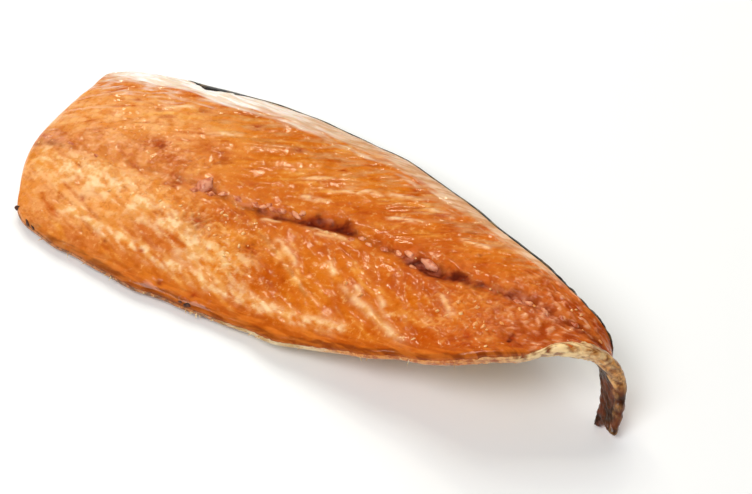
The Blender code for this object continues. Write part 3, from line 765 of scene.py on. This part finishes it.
# Torn flakes: crumbs of red muscle and soft pink flesh that stood up where the backbone was pulled
# off, dried glossy along the blood line. Each one still hangs on the flesh that it tore from.
FLAKES = (  # place, distance to the back side, length, width, height, turn in degrees
    (72.6, -4.2, 7.8, 5.6, 2.3, 75), (165.7, -5, 8.6, 3.2, 1.8, -15), (70.4, -7.4, 4.2, 2.8, 1.5, 25),
    (76.5, -6.5, 3.4, 2.1, 1.0, 50), (80, -4.6, 3.9, 2.1, 0.8, 20), (86, -4.4, 4.4, 2.0, 0.8, -20),
    (92.9, -4.1, 3.6, 2.1, 0.8, -5), (95.6, -3.8, 3.1, 2.0, 0.8, 20), (97.5, -2.4, 2.9, 1.8, 0.8, 40),
    (99.6, -3.2, 3.4, 2.0, 0.8, -10), (102.9, -2.4, 4.2, 2.1, 0.8, 10), (108.6, -1.8, 4.9, 2.0, 0.8, -20),
    (110.6, -0.4, 2.9, 2.1, 0.8, 60),
    (134, -4.8, 2.9, 2.2, 0.8, 20), (137, -2.8, 2.9, 2.0, 0.8, 0), (141, -4.4, 3.9, 1.8, 0.8, -25),
    (147, -4.2, 4.2, 2.1, 0.8, -10), (153, -4.2, 3.4, 2.1, 0.8, -30), (157, -3.6, 4.7, 2.2, 0.9, -18),
    (161, -8.2, 3.9, 1.7, 0.7, -12), (200.4, -6.8, 3.8, 2.0, 1.0, -10), (204, -5.3, 3.4, 1.7, 1.0, 15),
    (209.6, -5.4, 3.4, 1.6, 0.9, -20), (214.4, -3.6, 3.6, 1.4, 0.8, -10), (218.4, -3.1, 2.8, 1.3, 0.8, 0),
    (30, -8, 2.6, 1.2, 0.7, -15), (18, -6.5, 3.4, 1.3, 0.8, -10), (7, -5, 2.6, 1.6, 0.9, 20),
)


def lump(size, seed):
    """Points and faces of a rough spindle with a flat underside, its length along X."""
    ball = bmesh.new()
    bmesh.ops.create_icosphere(ball, subdivisions=3, radius=1.0)
    points = np.array([vertex.co for vertex in ball.verts])
    faces = [[vertex.index for vertex in face.verts] for face in ball.faces]
    ball.free()
    bumps = cloud(points[:, 0] * 1.7 + seed, points[:, 1] + points[:, 2] * 1.3 + seed, 151)
    points *= 1 + 0.3 * bumps[:, None]
    points[:, 1:] *= (1 - 0.45 * np.abs(points[:, :1]) ** 1.5)
    points[:, 2] *= np.where(points[:, 2] < 0, 0.4, 1.0)
    return points * np.array(size) / np.array((2, 2, 1)), faces


def lumps_on_flesh(name, spots, material, sink=0.25):
    """One piece of lumps that lie on the flesh, each at its place, turned as it lies."""
    all_points, all_faces, breadths, first = [], [], [], 0
    for seed, (place, distance, length, width, height, turn) in enumerate(spots):
        side = 1.0 if distance > 0 else -1.0
        reach = half_width(np.array([float(place)]), np.array([side]))[0]
        along = np.array([place, place + 1.5, place], dtype=float)
        share = np.array([distance, distance, distance + 1.5]) / reach
        at = flesh_top(along, share)[0]
        forward = (at[1] - at[0]) / np.linalg.norm(at[1] - at[0])
        up = np.cross(forward, at[2] - at[0])
        up /= np.linalg.norm(up)
        sideways = np.cross(up, forward)
        angle = np.radians(turn)
        axes = np.stack([forward * np.cos(angle) + sideways * np.sin(angle),
                         sideways * np.cos(angle) - forward * np.sin(angle), up])
        points, faces = lump((length, width, height), seed)
        all_points.append(at[0] + (points - (0, 0, sink * height)) @ axes)
        all_faces += [[first + corner for corner in face] for face in faces]
        breadths += [np.clip((length * width - 7.0) / 12.0, 0, 1)] * len(points)
        first += len(points)
    return mesh_object(name, np.concatenate(all_points), all_faces, None, {"breadth": breadths}, (material,))


def oily(name, low, high, coat, rough, broad_low=None, broad_high=None):
    """A smooth, oily finish in two mottled tones, and in two others on broad lumps."""
    material, tree, shader = finish(name)
    mottle = speckle(tree, put(tree, "TexCoord").outputs["Object"], 420.0, 3.0)
    patches = spread(tree, mottle, 0.38, 0.62)
    colour = blend_colours(tree, patches, low, high)
    if broad_low:
        paler = blend_colours(tree, patches, broad_low, broad_high)
        colour = blend_colours(tree, number_of(tree, "breadth"), colour, paler)
    bumped = put(tree, "Bump", {"Height": mottle, "Strength": 0.35, "Distance": 0.0003}).outputs[0]
    fill(tree, shader, {
        "Base Color": colour, "Roughness": spread(tree, mottle, 0.3, 0.7, rough, rough + 0.15),
        "Normal": bumped, "Coat Weight": coat, "Coat Roughness": 0.08, "Subsurface Weight": 0.15,
        "Subsurface Radius": (1.0, 0.35, 0.15), "Subsurface Scale": 0.001,
    })
    return material


red_muscle = oily("red_muscle", paint(194, 98, 54), paint(240, 162, 116), 0.3, 0.36,
                  paint(196, 102, 64), paint(236, 160, 122))
flakes = lumps_on_flesh("torn_flakes", FLAKES, red_muscle)
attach(flakes, "root")
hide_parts("fillet")

# Beads of fat: oil and soft fat that the smoke drove out of the belly and the tail. It set in
# small shining drops among the blisters, thickest beside the blood line and over the tail's root.
FAT_BEADS = (
    (188, -20, 2.2, 1.5, 0.9, 70), (195.6, -22, 2.6, 1.5, 1.0, 80), (199, -22, 2.2, 1.4, 0.9, 60),
    (143, -22.4, 2.6, 1.5, 0.9, -70), (151, -25, 2.6, 1.5, 0.9, 60), (185, -16.5, 1.7, 1.3, 0.7, 0),
    (192, -16, 1.6, 1.2, 0.7, 30), (203, -18, 2.0, 1.3, 0.8, -30), (180, -22, 1.7, 1.2, 0.7, 60),
    (86, -12.6, 2.0, 1.3, 0.8, 10), (92, -21, 2.2, 1.4, 0.9, 50), (84, -20, 1.8, 1.2, 0.8, -40),
    (96, -17, 1.9, 1.1, 0.8, 30), (128, -5.6, 2.4, 1.0, 0.9, -8), (124, -5.4, 2.0, 1.0, 0.8, 0),
)
BEAD_DENSITY, BEAD_RADII, BEAD_SEED = 52000.0, (0.22, 0.52), 7


def growth_tree(name, settings):
    """A node tree that sets one small shape on points all over a bed, as thick as its number says."""
    tree = bpy.data.node_groups.new(name, "GeometryNodeTree")
    tree.interface.new_socket("Bed", in_out="INPUT", socket_type="NodeSocketGeometry")
    for key, kind in (("Density", "Float"), ("Smallest", "Vector"), ("Largest", "Vector"), ("Seed", "Int"),
                      ("Finish", "Material")):
        tree.interface.new_socket(key, in_out="INPUT", socket_type="NodeSocket" + kind)
    tree.interface.new_socket("Grown", in_out="OUTPUT", socket_type="NodeSocketGeometry")
    made = {}

    def step(key, kind, links=None, **values):
        node = made[key] = tree.nodes.new(kind)
        for field, value in values.items():
            setattr(node, field, value)
        for socket, source in (links or {}).items():
            tree.links.new(source, node.inputs[socket])
        return node.outputs

    given = step("given", "NodeGroupInput")
    thick = step("thick", "GeometryNodeInputNamedAttribute", data_type="FLOAT")
    made["thick"].inputs["Name"].default_value = "thick"
    dense = step("dense", "ShaderNodeMath", {0: thick["Attribute"], 1: given["Density"]},
                 operation="MULTIPLY")
    points = step("points", "GeometryNodeDistributePointsOnFaces",
                  {"Mesh": given["Bed"], "Density": dense[0], "Seed": given["Seed"]})
    shape = step("shape", settings["shape"])
    for socket, value in settings["values"].items():
        made["shape"].inputs[socket].default_value = value
    sizes = step("sizes", "FunctionNodeRandomValue",
                 {0: given["Smallest"], 1: given["Largest"], "Seed": given["Seed"]}, data_type="FLOAT_VECTOR")
    leans = step("leans", "FunctionNodeRandomValue", {"Seed": given["Seed"]}, data_type="FLOAT_VECTOR")
    made["leans"].inputs[0].default_value, made["leans"].inputs[1].default_value = settings["leans"]
    turned = step("turned", "FunctionNodeRotateRotation",
                  {"Rotation": points["Rotation"], "Rotate By": leans[0]}, rotation_space="LOCAL")
    placed = step("placed", "GeometryNodeInstanceOnPoints", {
        "Points": points["Points"], "Instance": shape["Mesh"], "Rotation": turned[0], "Scale": sizes[0]})
    real = step("real", "GeometryNodeRealizeInstances", {0: placed[0]})
    smooth = step("smooth", "GeometryNodeSetShadeSmooth", {0: real[0]})
    dressed = step("dressed", "GeometryNodeSetMaterial", {"Geometry": smooth[0], "Material": given["Finish"]})
    step("out", "NodeGroupOutput", {0: dressed[0]})
    return tree


def grown(name, bed, tree, inputs):
    """The piece that a tree grows over a bed; the bed itself is taken away again."""
    modifier = bed.modifiers.new(name, "NODES")
    modifier.node_group = tree
    for item in tree.interface.items_tree:
        if item.name in inputs:
            modifier[item.identifier] = inputs[item.name]
    bpy.context.view_layer.update()
    mesh = bpy.data.meshes.new_from_object(bed.evaluated_get(bpy.context.evaluated_depsgraph_get()))
    bed.modifiers.remove(modifier)
    bpy.data.objects.remove(bed)
    mesh.name = name
    piece = bpy.data.objects.new(name, mesh)
    bpy.context.scene.collection.objects.link(piece)
    return piece


def bed_of(name, points, thick):
    """A sheet over a grid of points with the number that says how thickly things grow on it."""
    cells = cells_of(np.arange(thick.size).reshape(thick.shape))
    return mesh_object(name, points, cells.tolist(), numbers={"thick": thick})


fat_finish = oily("set_fat", paint(236, 152, 76), paint(252, 206, 140), 0.5, 0.3)
every_third = (slice(None, None, 3), slice(None, None, 3))
clumps = 0.3 + 0.7 * ease(clouds(ALONG / 4.0, ACROSS / 3.0, 161) * 2)
thick = (marks["bubbly"] * clumps + 0.25 * marks["mauve"]) * ease((1 - np.abs(SHARE)) / 0.1)
bed = bed_of("bead_bed", top_points[every_third], thick[every_third])
drop_tree = growth_tree("drops_on_flesh", {
    "shape": "GeometryNodeMeshUVSphere", "values": {"Radius": MM, "Segments": 8, "Rings": 5},
    "leans": ((-0.3, -0.3, -3.1), (0.3, 0.3, 3.1)),
})
small, large = BEAD_RADII
drops = grown("fat_drops", bed, drop_tree, {
    "Density": BEAD_DENSITY, "Seed": BEAD_SEED, "Finish": fat_finish,
    "Smallest": (small, small, small * 0.6), "Largest": (large * 2.1, large, large * 0.75),
})
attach(drops, "root")
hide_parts("fillet")
beads = lumps_on_flesh("fat_beads", FAT_BEADS, fat_finish)
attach(beads, "root")
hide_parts("fillet")

# Shreds: the frayed rim of the belly skin and its dried membrane. The knife left it ragged, and it
# dried into short curled threads along the edge. Where the heat caught it, it charred in dark spots.
SHRED_DENSITY, SHRED_SEED, SHRED_BAND = 1100000.0, 11, 0.5
CHAR_SPOTS = (  # place, distance to the back side, length, width, height, turn in degrees
    (4.4, -35.6, 2.8, 2.0, 1.4, 60), (15.0, -40.2, 3.6, 1.1, 0.8, -25), (18.6, -41.0, 2.6, 0.8, 0.6, -20),
    (91.5, -47.0, 3.4, 1.5, 0.7, 10), (88.8, -46.9, 2.2, 0.9, 0.5, 0),
)
edge_along = np.linspace(20.0, 214.0, 600)
edge_grid, rise = np.meshgrid(edge_along, (0.0, 1.0), indexing="ij")
foot, up, low, high, _, _ = section(edge_grid, np.full(edge_grid.shape, -1.0))
edge_points = foot + up * (low - SHRED_BAND / 2 + rise * SHRED_BAND)[..., None] - SEAT
patches = ease(0.25 + 1.6 * clouds(edge_grid / 7.0, 0 * edge_grid, 171))
bed = bed_of("shred_bed", edge_points, patches)
shred_tree = growth_tree("shreds_on_rim", {
    "shape": "GeometryNodeMeshCone",
    "values": {"Vertices": 5, "Side Segments": 3, "Depth": MM, "Radius Top": 0.1 * MM,
               "Radius Bottom": 0.5 * MM},
    "leans": ((-0.9, -0.9, -3.1), (0.9, 0.9, 3.1)),
})
shreds = grown("belly_shreds", bed, shred_tree, {
    "Density": SHRED_DENSITY, "Seed": SHRED_SEED,
    "Finish": oily("dried_membrane", paint(208, 150, 82), paint(246, 218, 168), 0.2, 0.45),
    "Smallest": (0.2, 0.3, 0.9), "Largest": (0.6, 1.0, 2.4),
})
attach(shreds, "root")
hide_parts("fillet")
charred = oily("charred_skin", paint(38, 18, 10), paint(104, 50, 24), 0.1, 0.5)
char = lumps_on_flesh("char_spots", CHAR_SPOTS, charred)
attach(char, "root")
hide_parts("fillet")

# The table: a plain white sweep under soft studio light, with a camera that looks down across
# the fillet from its belly side.
TABLE_REACH = 1500
sweep_finish, tree, shader = finish("white_table")
fill(tree, shader, {"Base Color": paint(250, 250, 250), "Roughness": 0.6})
corners = [(x * TABLE_REACH, y * TABLE_REACH, 0) for x, y in ((-1, -1), (1, -1), (1, 1), (-1, 1))]
table = mesh_object("table", corners, [(0, 1, 2, 3)], materials=(sweep_finish,))
room = bpy.data.worlds.new("studio")
bpy.context.scene.world = room
room.use_nodes = True
room.cycles_visibility.glossy = False
tree = room.node_tree
height = put(tree, "SeparateXYZ", {0: put(tree, "TexCoord").outputs["Generated"]}).outputs["Z"]
fill(tree, tree.nodes["Background"], {
    "Color": (1.0, 1.0, 1.0, 1.0), "Strength": spread(tree, height, 0.0, 0.3, 0.8, 0.24)})
bpy.context.scene.view_settings.view_transform = "Standard"


def softbox(name, place, size, power, tint=(1.0, 1.0, 1.0)):
    """A rectangular lamp that shines on the middle of the fillet."""
    light = bpy.data.lights.new(name, "AREA")
    light.shape, light.size, light.size_y, light.energy = "RECTANGLE", *size, power
    light.color = tint
    lamp = bpy.data.objects.new(name, light)
    lamp.location = place
    lamp.rotation_euler = (-Vector(place)).to_track_quat("-Z", "Y").to_euler()
    bpy.context.scene.collection.objects.link(lamp)
    return lamp


SPARKS = (
    ("back_spark", (-0.36, 0.67, 0.79)), ("belly_spark", (-0.36, 0.31, 0.99)),
    ("head_spark", (-0.6, 0.43, 0.81)), ("tail_spark", (-0.7, 0.62, 0.58)),
)
for name, place in SPARKS:
    softbox(name, place, (0.07, 0.07), 0.6, tint=(0.95, 0.92, 0.68))
softbox("front_softbox", (-0.2, -0.75, 1.1), (0.9, 0.7), 11.5)
back_softbox = softbox("back_softbox", (-0.35, 0.75, 0.95), (0.9, 0.7), 6.6)
back_softbox.visible_glossy = False

AIM = Vector((19.33, -1.73, 12.5)) * MM
AWAY = Vector((192.4, -361.9, 424.4)) * MM
view = bpy.data.cameras.new("viewpoint")
view.sensor_width = 36.0
view.lens = 84.69
viewpoint = bpy.data.objects.new("viewpoint", view)
viewpoint.location = AIM + AWAY
viewpoint.rotation_euler = (-AWAY).to_track_quat("-Z", "Y").to_euler()
bpy.context.scene.collection.objects.link(viewpoint)
bpy.context.scene.camera = viewpoint
